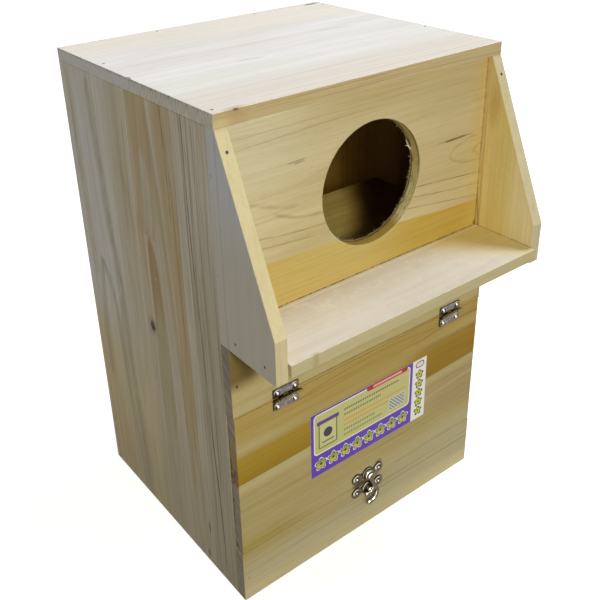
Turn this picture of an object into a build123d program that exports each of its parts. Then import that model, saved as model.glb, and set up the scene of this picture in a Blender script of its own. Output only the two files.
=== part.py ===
from build123d import *
import os
from math import asin, cos, degrees, radians, sin

# Wooden nest box with a porch and a hinged front door, in millimetres.
# The origin is on the ground under the middle of the whole box, porch included.
# +Z is up, the entrance faces -Y, and +X is to the right of someone who faces it.

os.makedirs("parts", exist_ok=True)

# Boards of the case
box_width = 230.0
box_depth = 195.0
board = 8.5
arris = 0.2

# The front is a stack of boards, from the ground up, and their heights make the height of the box
bottom_rail_height = 44.2
door_height = 116.3
hinge_rail_height = 52.9
hole_panel_height = 137.5

# Porch in front of the entrance
porch_projection = 47.5
wing_front_height = 29.0
porch_floor_lift = 3.8
porch_floor_overhang = 3.0

# Entrance and the landing shelf behind it. The panel stands a little back from the front.
panel_recess = 3.0
hole_diameter = 83.7
hole_x = 2.85
shelf_rise = 16.0
shelf_depth = 101.5

# Fit of the door between the rails
door_gap = 0.3
door_side_inset = 0.6
door_seat_gap = 0.3
door_edge_relief = 0.55

# Nails that hold the boards
nail_length = 24.0
nail_shank_radius = 0.6
nail_head_radius = 1.0
nail_head_thickness = 0.5
nail_point_length = 1.6
nail_point_radius = 0.15

# Small round-headed nails of the hardware
pin_nail_length = 6.8
pin_nail_shank_radius = 0.45
pin_nail_head_radius = 1.25
pin_nail_head_height = 0.6
pin_nail_head_edge = 0.4

# Hinges
left_hinge_inset = 41.0
right_hinge_inset = 34.0
hinge_length = 21.0
hinge_open_width = 16.4
hinge_leaf_thickness = 0.8
hinge_leaf_corner = 0.6
hinge_knuckle_radius = 1.5
hinge_knuckle_count = 5
hinge_knuckle_gap = 0.3
hinge_wood_gap = 0.3
hinge_notch_gap = 0.4
hinge_pin_radius = 0.75
hinge_pin_clearance = 0.05
hinge_pin_overhang = 2.0
hinge_pin_edge = 0.2
hinge_nail_inset = 3.4
hinge_nail_drop = 5.3

# Latch: a hook on the door and a peg on the rail below it
latch_x = 0.5
latch_plate_height = 51.0
latch_drop = 13.5
latch_plate_thickness = 0.9
latch_plate_edge = 0.3
latch_lobe_offset = 11.0
latch_lobe_radius = 4.7
latch_centre_radius = 5.6
latch_neck_height = 5.0
latch_waist_radius = 1.0
boss_radius = 3.6
boss_height = 1.0
collar_height = 0.6
hook_gap = 0.3
hook_thickness = 1.6
hook_edge = 0.35
hook_crotch_radius = 0.7
hook_bar_width = 3.6
hook_eye_radius = 4.2
hook_bore_clearance = 0.08
rivet_radius = 1.5
rivet_head_radius = 3.0
rivet_head_height = 1.5
rivet_head_edge = 1.1
peg_radius = 2.0
peg_overreach = 0.8
peg_edge = 0.4
jaw_clearance = 1.0
jaw_end_angle = -112.0
hook_tail_width = 3.0
tail_bulge_x = 8.4
tail_bulge_drop = 8.0
tail_tip_x = 0.9
tail_tip_drop = 14.2
tail_ball_radius = 2.1

# Paper sticker on the door
label_x = 2.8
label_height_centre = 104.5
label_width = 113.0
label_height = 55.5
label_thickness = 0.2

# Places along an edge, as shares of it
top_left_nail_shares = (0.035, 0.68)
top_right_nail_shares = (0.34, 0.93)
top_back_nail_shares = (0.33, 0.71)
side_back_nail_shares = (0.10, 0.37, 0.63, 0.90)
side_bottom_nail_shares = (0.24, 0.75)
shelf_nail_shares = (0.25, 0.75)
floor_nail_shares = (0.22, 0.83)
panel_nail_shares = (0.35, 0.80)
front_rail_nail_share = 0.45
slant_nail_share = 0.11
hole_height_share = 0.5348

# Places that the boards share
half_width = box_width / 2
inner_half_width = half_width - board
inner_width = box_width - 2 * board
front_y = (porch_projection + porch_floor_overhang - box_depth) / 2
back_y = front_y + box_depth
porch_front_y = front_y - porch_projection
side_front_y = front_y + board
panel_front_y = front_y + panel_recess
panel_back_y = panel_front_y + board
floor_front_y = porch_front_y - porch_floor_overhang
door_bottom = bottom_rail_height + door_gap
door_top = door_bottom + door_height
hinge_rail_bottom = door_top + door_gap
hinge_z = door_top + door_gap / 2
porch_height = hinge_rail_bottom + hinge_rail_height
slant_foot = porch_height + wing_front_height
floor_underside = porch_height + porch_floor_lift
top_underside = porch_height + hole_panel_height
box_height = top_underside + board
hole_height = porch_height + hole_height_share * hole_panel_height
shelf_top = porch_height + shelf_rise
door_thickness = board - door_seat_gap
corner = (Align.MIN, Align.MIN)

front_plane = Plane.XZ.offset(-front_y)
panel_plane = Plane.XZ.offset(-panel_front_y)
left_plane = Plane.YZ.offset(-half_width)
right_plane = Plane.YZ.offset(half_width)
top_plane = Plane.XY.offset(box_height)
side_faces = {"left": (left_plane, 1), "right": (right_plane, -1)}


# Every nail is a group of solids in one node: a flat head level with the wood and a pointed shank.
edge_middle_x = half_width - board / 2
back_middle_y = back_y - board / 2
panel_nail_y = (panel_front_y + side_front_y) / 2

top_places = [(-edge_middle_x, front_y + share * box_depth) for share in top_left_nail_shares]
top_places += [(edge_middle_x, front_y + share * box_depth) for share in top_right_nail_shares]
top_places += [(-half_width + share * box_width, back_middle_y) for share in top_back_nail_shares]

side_places = [(back_middle_y, share * top_underside) for share in side_back_nail_shares]
side_places += [(front_y + share * box_depth, board / 2) for share in side_bottom_nail_shares]
side_places += [(side_front_y + share * shelf_depth, shelf_top - board / 2) for share in shelf_nail_shares]

wing_places = [(porch_front_y + share * porch_projection, floor_underside + board / 2)
               for share in floor_nail_shares]
wing_places += [(panel_nail_y, porch_height + share * hole_panel_height)
                for share in panel_nail_shares]

rail_nail_z = (front_rail_nail_share * bottom_rail_height,
               hinge_rail_bottom + front_rail_nail_share * hinge_rail_height)
front_places = [(side * edge_middle_x, z) for side in (-1, 1) for z in rail_nail_z]
slant_drop = top_underside - slant_foot
slant_nail_y = front_y - slant_nail_share * porch_projection
slant_nail_z = top_underside - slant_nail_share * slant_drop
slant_plane = Plane(
    origin=(0, slant_nail_y, slant_nail_z),
    x_dir=(1, 0, 0),
    z_dir=(0, -slant_drop, porch_projection),
)
slant_places = [(side * edge_middle_x, 0) for side in (-1, 1)]

nail_groups = {
    "top_board_nails": (top_plane, top_places, -1),
    "left_side_nails": (left_plane, side_places, 1),
    "right_side_nails": (right_plane, side_places, -1),
    "left_wing_nails": (left_plane, wing_places, 1),
    "right_wing_nails": (right_plane, wing_places, -1),
    "front_rail_nails": (front_plane, front_places, -1),
    "wing_front_nails": (slant_plane, slant_places, -1),
}
nails = {}
for name, (face, places, inward) in nail_groups.items():
    shank_length = nail_length - nail_point_length
    with BuildPart() as group:
        with BuildSketch(face):
            with Locations(*places):
                Circle(nail_head_radius)
        extrude(amount=inward * nail_head_thickness)
        with BuildSketch(face):
            with Locations(*places):
                Circle(nail_shank_radius)
        extrude(amount=inward * shank_length)
        for place in places:
            with BuildSketch(face.offset(inward * shank_length)):
                with Locations(place):
                    Circle(nail_shank_radius)
            with BuildSketch(face.offset(inward * nail_length)):
                with Locations(place):
                    Circle(nail_point_radius)
            loft()
    group.part.label = name
    export_step(group.part, f"parts/{name}.step")
    nails[name] = group.part


# Carcass: two side boards carry the top, the back, the bottom and the landing shelf.
with BuildPart() as top_board:
    with BuildSketch(top_plane):
        with Locations((0, front_y + box_depth / 2)):
            Rectangle(box_width, box_depth)
    extrude(amount=-board)
    chamfer(top_board.edges(), arris)
    add(nails["top_board_nails"], mode=Mode.SUBTRACT)
top_board.part.label = "top_board"
export_step(top_board.part, "parts/top_board.step")

for side, (outer_face, inward) in side_faces.items():
    with BuildPart() as side_board:
        with BuildSketch(outer_face):
            with Locations((side_front_y, 0)):
                Rectangle(back_y - side_front_y, top_underside, align=corner)
        extrude(amount=inward * board)
        chamfer(side_board.edges(), arris)
        for name in ("top_board_nails", f"{side}_side_nails", "front_rail_nails", "wing_front_nails"):
            add(nails[name], mode=Mode.SUBTRACT)
    side_board.part.label = f"{side}_side_board"
    export_step(side_board.part, f"parts/{side}_side_board.step")

with BuildPart() as back_board:
    with BuildSketch(Plane.XZ.offset(-back_y)):
        with Locations((-inner_half_width, 0)):
            Rectangle(inner_width, top_underside, align=corner)
    extrude(amount=board)
    chamfer(back_board.edges(), arris)
    for name in ("top_board_nails", "left_side_nails", "right_side_nails"):
        add(nails[name], mode=Mode.SUBTRACT)
back_board.part.label = "back_board"
export_step(back_board.part, "parts/back_board.step")

with BuildPart() as bottom_board:
    with BuildSketch(Plane.XY):
        with Locations((-inner_half_width, side_front_y)):
            Rectangle(inner_width, box_depth - 2 * board, align=corner)
    extrude(amount=board)
    chamfer(bottom_board.edges(), arris)
    for name in ("left_side_nails", "right_side_nails"):
        add(nails[name], mode=Mode.SUBTRACT)
bottom_board.part.label = "bottom_board"
export_step(bottom_board.part, "parts/bottom_board.step")

with BuildPart() as landing_shelf:
    with BuildSketch(Plane.XY.offset(shelf_top)):
        with Locations((-inner_half_width, panel_back_y)):
            Rectangle(inner_width, shelf_depth - panel_recess, align=corner)
    extrude(amount=-board)
    chamfer(landing_shelf.edges(), arris)
    for name in ("left_side_nails", "right_side_nails"):
        add(nails[name], mode=Mode.SUBTRACT)
landing_shelf.part.label = "landing_shelf"
export_step(landing_shelf.part, "parts/landing_shelf.step")


# Front: the entrance panel stands between the wings, on the rail that carries the hinges.
with BuildPart() as hole_panel:
    with BuildSketch(panel_plane):
        with Locations((-inner_half_width, porch_height)):
            Rectangle(inner_width, hole_panel_height, align=corner)
    extrude(amount=-board)
    with BuildSketch(panel_plane):
        with Locations((hole_x, hole_height)):
            Circle(hole_diameter / 2)
    extrude(amount=-board, mode=Mode.SUBTRACT)
    chamfer(hole_panel.edges(), arris)
    for name in ("left_wing_nails", "right_wing_nails"):
        add(nails[name], mode=Mode.SUBTRACT)
hole_panel.part.label = "hole_panel"
export_step(hole_panel.part, "parts/hole_panel.step")

wing_outline = [
    (side_front_y, porch_height),
    (porch_front_y, porch_height),
    (porch_front_y, slant_foot),
    (front_y, top_underside),
    (side_front_y, top_underside),
]

for side, (outer_face, inward) in side_faces.items():
    with BuildPart() as wing:
        with BuildSketch(outer_face):
            with BuildLine():
                Polyline(*wing_outline, close=True)
            make_face()
        extrude(amount=inward * board)
        chamfer(wing.edges(), arris)
        for name in ("top_board_nails", f"{side}_wing_nails", "wing_front_nails"):
            add(nails[name], mode=Mode.SUBTRACT)
    wing.part.label = f"{side}_wing"
    export_step(wing.part, f"parts/{side}_wing.step")

with BuildPart() as porch_floor:
    with BuildSketch(Plane.XY.offset(floor_underside)):
        with Locations((-inner_half_width, floor_front_y)):
            Rectangle(inner_width, panel_front_y - floor_front_y, align=corner)
    extrude(amount=board)
    chamfer(porch_floor.edges(), arris)
    for name in ("left_wing_nails", "right_wing_nails"):
        add(nails[name], mode=Mode.SUBTRACT)
porch_floor.part.label = "porch_floor"
export_step(porch_floor.part, "parts/porch_floor.step")


# Small nails of the hardware, driven from the front: x and z of each, and how far out its plate stands.
hinge_centres = {"left": -half_width + left_hinge_inset, "right": half_width - right_hinge_inset}
hinge_nail_x = hinge_length / 2 - hinge_nail_inset
hinge_nails_x = [centre + side * hinge_nail_x for centre in hinge_centres.values() for side in (-1, 1)]
keeper_z = latch_plate_height - latch_drop
latch_nails_x = [latch_x + side * latch_lobe_offset for side in (-1, 1)]
pin_nail_groups = {
    "hinge_rail_nails": ([(x, hinge_z + hinge_nail_drop) for x in hinge_nails_x], hinge_leaf_thickness),
    "hinge_door_nails": ([(x, hinge_z - hinge_nail_drop) for x in hinge_nails_x], hinge_leaf_thickness),
    "latch_plate_nails": ([(x, latch_plate_height) for x in latch_nails_x], latch_plate_thickness),
    "keeper_plate_nails": ([(x, keeper_z) for x in latch_nails_x], latch_plate_thickness),
}
for name, (places, plate_thickness) in pin_nail_groups.items():
    with BuildPart() as group:
        with BuildSketch(front_plane.offset(plate_thickness)):
            with Locations(*places):
                Circle(pin_nail_head_radius)
        extrude(amount=pin_nail_head_height)
        head_rims = group.edges().filter_by(GeomType.CIRCLE).group_by(Axis.Y)[0]
        fillet(head_rims, pin_nail_head_edge)
        with BuildSketch(front_plane.offset(plate_thickness)):
            with Locations(*places):
                Circle(pin_nail_shank_radius)
        extrude(amount=-pin_nail_length)
    group.part.label = name
    export_step(group.part, f"parts/{name}.step")
    nails[name] = group.part


# Rails of the front and the door between them
with BuildPart() as hinge_rail:
    with BuildSketch(front_plane):
        with Locations((-half_width, hinge_rail_bottom)):
            Rectangle(box_width, hinge_rail_height, align=corner)
    extrude(amount=-board)
    chamfer(hinge_rail.edges(), arris)
    for name in ("front_rail_nails", "hinge_rail_nails"):
        add(nails[name], mode=Mode.SUBTRACT)
hinge_rail.part.label = "hinge_rail"
export_step(hinge_rail.part, "parts/hinge_rail.step")

with BuildPart() as bottom_rail:
    with BuildSketch(front_plane):
        with Locations((-half_width, 0)):
            Rectangle(box_width, bottom_rail_height, align=corner)
    extrude(amount=-board)
    chamfer(bottom_rail.edges(), arris)
    for name in ("front_rail_nails", "keeper_plate_nails"):
        add(nails[name], mode=Mode.SUBTRACT)
bottom_rail.part.label = "bottom_rail"
export_step(bottom_rail.part, "parts/bottom_rail.step")

# The door's lower edge is cut back towards the inside, so that it clears the rail as the door swings out.
door_section = [
    (front_y, door_bottom),
    (front_y, door_top),
    (front_y + door_thickness, door_top),
    (front_y + door_thickness, door_bottom + door_edge_relief),
]
with BuildPart() as door:
    with BuildSketch(Plane.YZ):
        with BuildLine():
            Polyline(*door_section, close=True)
        make_face()
    extrude(amount=half_width - door_side_inset, both=True)
    chamfer(door.edges(), arris)
    for name in ("hinge_door_nails", "latch_plate_nails"):
        add(nails[name], mode=Mode.SUBTRACT)
door.part.label = "door"
export_step(door.part, "parts/door.step")

with BuildPart() as label:
    with BuildSketch(front_plane):
        with Locations((label_x, label_height_centre)):
            Rectangle(label_width, label_height)
    extrude(amount=label_thickness)
label.part.label = "label"
export_step(label.part, "parts/label.step")


# Hinges: the knuckles turn on a pin in front of the wood, level with the gap above the door.
hinge_axis_y = front_y - hinge_wood_gap - hinge_knuckle_radius
knuckle_pitch = hinge_length / hinge_knuckle_count
knuckle_length = knuckle_pitch - hinge_knuckle_gap
leaf_reach = hinge_open_width / 2
notch_reach = hinge_knuckle_radius + hinge_notch_gap
leaf_kinds = {
    "rail_leaf": (1, 1, hinge_pin_radius, "hinge_rail_nails"),
    "door_leaf": (0, -1, hinge_pin_radius + hinge_pin_clearance, "hinge_door_nails"),
}


def knuckle_middles(centre, first):
    """Places along the pin of every second knuckle, counted from the first."""
    start = centre - hinge_length / 2 + knuckle_pitch / 2
    return [start + index * knuckle_pitch for index in range(first, hinge_knuckle_count, 2)]


for side, centre in hinge_centres.items():
    for kind, (first, way, bore_radius, nail_group) in leaf_kinds.items():
        with BuildPart() as leaf:
            with BuildSketch(front_plane) as outline:
                with Locations((centre, hinge_z + way * leaf_reach / 2)):
                    Rectangle(hinge_length, leaf_reach)
                fillet(outline.vertices().sort_by(Axis.Y)[::way][-2:], hinge_leaf_corner)
                with Locations(*[(x, hinge_z) for x in knuckle_middles(centre, 1 - first)]):
                    Rectangle(knuckle_pitch + hinge_knuckle_gap, 2 * notch_reach, mode=Mode.SUBTRACT)
            extrude(amount=hinge_leaf_thickness)
            for x in knuckle_middles(centre, first):
                with BuildSketch(Plane.YZ.offset(x)):
                    with Locations((hinge_axis_y, hinge_z)):
                        Circle(hinge_knuckle_radius)
                extrude(amount=knuckle_length / 2, both=True)
            with BuildSketch(Plane.YZ.offset(centre)):
                with Locations((hinge_axis_y, hinge_z)):
                    Circle(bore_radius)
            extrude(amount=hinge_length, both=True, mode=Mode.SUBTRACT)
            add(nails[nail_group], mode=Mode.SUBTRACT)
        leaf.part.label = f"{side}_hinge_{kind}"
        export_step(leaf.part, f"parts/{side}_hinge_{kind}.step")

    with BuildPart() as pin:
        with BuildSketch(Plane.YZ.offset(centre - hinge_length / 2)):
            with Locations((hinge_axis_y, hinge_z)):
                Circle(hinge_pin_radius)
        extrude(amount=hinge_length + hinge_pin_overhang)
        chamfer(pin.edges().filter_by(GeomType.CIRCLE), hinge_pin_edge)
    pin.part.label = f"{side}_hinge_pin"
    export_step(pin.part, f"parts/{side}_hinge_pin.step")


# Latch: both plates lie on the wood, and the hook turns between the boss and the rivet's head.
hook_back = latch_plate_thickness + boss_height + hook_gap
hook_front = hook_back + hook_thickness
hook_plane = Plane(
    origin=(latch_x, front_y - hook_back, latch_plate_height),
    x_dir=(1, 0, 0),
    z_dir=(0, -1, 0),
)

plate_kinds = {
    "latch_plate": (latch_plate_height, rivet_radius, boss_height),
    "keeper_plate": (keeper_z, peg_radius, collar_height),
}
for kind, (height, bore_radius, rise) in plate_kinds.items():
    with BuildPart() as plate:
        with BuildSketch(front_plane) as outline:
            with Locations((latch_x, height)):
                Circle(latch_centre_radius)
                Rectangle(2 * latch_lobe_offset, latch_neck_height)
            with Locations(*[(x, height) for x in latch_nails_x]):
                Circle(latch_lobe_radius)
            fillet(outline.vertices(), latch_waist_radius)
        extrude(amount=latch_plate_thickness)
        fillet(plate.edges().group_by(Axis.Y)[0], latch_plate_edge)
        with BuildSketch(front_plane.offset(latch_plate_thickness)):
            with Locations((latch_x, height)):
                Circle(boss_radius)
        extrude(amount=rise)
        with BuildSketch(front_plane):
            with Locations((latch_x, height)):
                Circle(bore_radius)
        extrude(amount=latch_plate_thickness + rise, mode=Mode.SUBTRACT)
        add(nails[f"{kind}_nails"], mode=Mode.SUBTRACT)
    plate.part.label = kind
    export_step(plate.part, f"parts/{kind}.step")

with BuildPart() as latch_rivet:
    with BuildSketch(front_plane):
        with Locations((latch_x, latch_plate_height)):
            Circle(rivet_radius)
    extrude(amount=hook_front + hook_gap)
    with BuildSketch(front_plane.offset(hook_front + hook_gap)):
        with Locations((latch_x, latch_plate_height)):
            Circle(rivet_head_radius)
    extrude(amount=rivet_head_height)
    fillet(latch_rivet.edges().group_by(Axis.Y)[0], rivet_head_edge)
latch_rivet.part.label = "latch_rivet"
export_step(latch_rivet.part, "parts/latch_rivet.step")

with BuildPart() as keeper_peg:
    with BuildSketch(front_plane):
        with Locations((latch_x, keeper_z)):
            Circle(peg_radius)
    extrude(amount=hook_front + peg_overreach)
    chamfer(keeper_peg.edges().group_by(Axis.Y)[0], peg_edge)
keeper_peg.part.label = "keeper_peg"
export_step(keeper_peg.part, "parts/keeper_peg.step")

# The hook's bar runs from its eye to the jaw round the peg, and its tail curls back below the jaw.
jaw_radius = peg_radius + jaw_clearance + hook_bar_width / 2
jaw_centre = (0, -latch_drop)
bar_lean = asin(jaw_radius / latch_drop)
bar_foot = (jaw_radius * cos(bar_lean), jaw_radius * sin(bar_lean) - latch_drop)
jaw_end = (
    jaw_radius * cos(radians(jaw_end_angle)),
    jaw_radius * sin(radians(jaw_end_angle)) - latch_drop,
)
tail_end = (tail_tip_x, -latch_drop - tail_tip_drop)

with BuildPart() as latch_hook:
    with BuildSketch(hook_plane):
        with BuildLine():
            Line((0, 0), bar_foot)
            CenterArc(jaw_centre, jaw_radius, degrees(bar_lean), jaw_end_angle - degrees(bar_lean))
        trace(line_width=hook_bar_width)
        with BuildLine():
            ThreePointArc(
                (jaw_radius, -latch_drop),
                (tail_bulge_x, -latch_drop - tail_bulge_drop),
                tail_end,
            )
        trace(line_width=hook_tail_width)
        Circle(hook_eye_radius)
        with Locations(jaw_end):
            Circle(hook_bar_width / 2)
        with Locations(tail_end):
            Circle(tail_ball_radius)
        offset(amount=hook_crotch_radius, kind=Kind.ARC)
        offset(amount=-hook_crotch_radius, kind=Kind.ARC)
        Circle(rivet_radius + hook_bore_clearance, mode=Mode.SUBTRACT)
    extrude(amount=hook_thickness)
    chamfer(latch_hook.edges().group_by(Axis.Y)[0], hook_edge)
latch_hook.part.label = "latch_hook"
export_step(latch_hook.part, "parts/latch_hook.step")
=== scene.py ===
"""Looks of the wooden nest box: bare wood, nails, plated hardware, a printed sticker, light and camera."""
from math import cos, pi, radians, sin

import bmesh
import bpy
from mathutils import Matrix, Vector


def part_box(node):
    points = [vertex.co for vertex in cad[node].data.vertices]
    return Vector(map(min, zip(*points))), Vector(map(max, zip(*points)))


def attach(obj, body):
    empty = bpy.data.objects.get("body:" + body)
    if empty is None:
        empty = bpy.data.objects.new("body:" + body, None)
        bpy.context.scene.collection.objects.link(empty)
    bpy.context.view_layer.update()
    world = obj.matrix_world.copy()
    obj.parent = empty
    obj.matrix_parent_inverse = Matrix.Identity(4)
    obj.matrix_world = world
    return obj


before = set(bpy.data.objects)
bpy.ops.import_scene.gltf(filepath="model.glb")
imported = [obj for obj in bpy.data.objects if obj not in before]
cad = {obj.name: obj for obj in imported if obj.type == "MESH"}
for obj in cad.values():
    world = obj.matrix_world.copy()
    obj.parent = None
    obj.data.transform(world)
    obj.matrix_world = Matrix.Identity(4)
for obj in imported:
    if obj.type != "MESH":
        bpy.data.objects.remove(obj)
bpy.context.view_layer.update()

MM = 0.001

# Marks on the wood are placed from the left side, the front and the ground, in millimetres.
LEFT_SIDE = -115.0
FRONT = -72.25
BOX_WIDTH, BOX_HEIGHT = 230, 360

# Every mark lies within this distance of that corner, which the curves of the marks need.
REACH = 400.0

# The entrance, the hinges and the latch by the same measures
ENTRANCE_ACROSS, ENTRANCE_UP, ENTRANCE_RADIUS = 117.85, 287.54, 41.85
HINGES_MIDDLE, HINGES_HALF_SPAN, HINGES_UP = 118.5, 77.5, 160.95
LATCH_ACROSS, LATCH_NAILS_HALF_SPAN = 115.5, 11.0
LATCH_PLATES_MIDDLE, LATCH_PLATES_HALF_SPAN = 44.25, 6.75

DULL_SHEEN = 0.12
WOOD_RELIEF = 0.12
GRAIN_SHADE = (206, 192, 160)
# Colour of the painted glints on the hardware
PAINTED_GLINT = (250, 244, 230)


def tone(colour, share=1.0):
    """A share of a colour as the eye reads it, 0 to 255, turned into the linear values that shaders take."""
    shares = [value * share / 255 for value in colour]
    linear = [c / 12.92 if c <= 0.04045 else ((c + 0.055) / 1.055) ** 2.4 for c in shares]
    return (*linear, 1.0)


def spot_at(from_left, from_front, up):
    """A place in the scene, from its distances in millimetres."""
    return Vector((LEFT_SIDE + from_left, FRONT + from_front, up)) * MM


def each(mark, *rows):
    """Calls a function with each row."""
    for row in rows:
        mark(*row)


def placed(name, data):
    """A new object in the scene."""
    thing = bpy.data.objects.new(name, data)
    bpy.context.collection.objects.link(thing)
    return thing


def operator(operation):
    """One of Python's operators, as a math node."""
    return lambda value, other: value.nodes.math(operation, value, other)


class Value:
    """What a node gives. Python's arithmetic on it adds math nodes."""

    def __init__(self, nodes, socket):
        self.nodes = nodes
        self.socket = socket

    __add__ = operator("ADD")
    __sub__ = operator("SUBTRACT")
    __mul__ = operator("MULTIPLY")
    __truediv__ = operator("DIVIDE")
    __mod__ = operator("FLOORED_MODULO")

    def __abs__(self):
        return self.nodes.math("ABSOLUTE", self)

    def between(self, low, high, at_low=0.0, at_high=1.0):
        """Goes smoothly from at_low to at_high as the value goes from low to high, upwards or downwards."""
        return self.nodes.value("ShaderNodeMapRange", enumerate((self, low, high, at_low, at_high)),
                                interpolation_type="SMOOTHSTEP")


class Nodes:
    """A node tree, with short calls for the steps that the finishes, the light and the fibres share."""

    def __init__(self, tree):
        self.tree = tree

    def feed(self, socket, value):
        """Links a value, a socket or a node's first output to a socket, or sets the socket to numbers."""
        if isinstance(value, bpy.types.Node):
            value = value.outputs[0]
        value = getattr(value, "socket", value)
        if isinstance(value, bpy.types.NodeSocket):
            self.tree.links.new(value, socket)
        else:
            socket.default_value = value

    def add(self, kind, inputs=(), **settings):
        """A new node. The inputs go by their names or numbers."""
        node = self.tree.nodes.new(kind)
        for setting, value in settings.items():
            setattr(node, setting, value)
        for key, value in dict(inputs).items():
            self.feed(node.inputs[key], value)
        return node

    def value(self, kind, inputs=(), **settings):
        return Value(self, self.add(kind, inputs, **settings).outputs[0])

    def math(self, operation, *values):
        return self.value("ShaderNodeMath", enumerate(values), operation=operation)

    def distance(self, across, upward):
        return self.math("SQRT", across * across + upward * upward)

    def split(self, vector):
        node = self.add("ShaderNodeSeparateXYZ", {0: vector})
        return [Value(self, output) for output in node.outputs]

    def joined(self, x, y, z):
        return self.value("ShaderNodeCombineXYZ", enumerate((x, y, z)))

    def noise(self, vector, size=1.0, detail=2.0, roughness=0.5):
        """Smooth noise about one half, in patches about size across."""
        given = {"Vector": vector, "Scale": 1 / size, "Detail": detail, "Roughness": roughness}
        return self.value("ShaderNodeTexNoise", given)

    def mix(self, factor, first, second, blend="MIX"):
        node = self.add("ShaderNodeMix", {0: factor, 6: first, 7: second}, data_type="RGBA", blend_type=blend)
        return Value(self, node.outputs[2])

    def seen(self):
        """One for rays from the camera, straight or by way of something shiny or clear, else zero."""
        rays = self.add("ShaderNodeLightPath").outputs
        straight_or_shiny = self.math("MAXIMUM", rays["Is Camera Ray"], rays["Is Glossy Ray"])
        return self.math("MAXIMUM", straight_or_shiny, rays["Is Transmission Ray"])


class Paint(Nodes):
    """A material's shader."""

    def __init__(self, name):
        self.material = bpy.data.materials.new(name)
        self.material.use_nodes = True
        super().__init__(self.material.node_tree)

    def set(self, **sockets):
        for name, value in sockets.items():
            self.feed(self.tree.nodes["Principled BSDF"].inputs[name.replace("_", " ")], value)
        return self.material


class Finish(Paint):
    """A finish of the box, with its marks placed in millimetres."""

    def __init__(self, name):
        super().__init__(name)
        coordinates = self.add("ShaderNodeTexCoord").outputs
        corner = {0: coordinates["Object"], 1: (LEFT_SIDE * MM, FRONT * MM, 0)}
        from_corner = self.add("ShaderNodeVectorMath", corner, operation="SUBTRACT")
        self.place = self.value("ShaderNodeVectorMath", {0: from_corner, "Scale": 1 / MM}, operation="SCALE")
        self.facing = self.split(coordinates["Normal"])
        self.measures = self.split(self.place)

    def tint(self, mask, colour, strength=1.0):
        self.colour = self.mix(mask * strength, self.colour, tone(colour))

    def bump(self, height, depth):
        self.set(Normal=self.add("ShaderNodeBump", {"Distance": depth * MM, "Height": height}))


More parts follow.
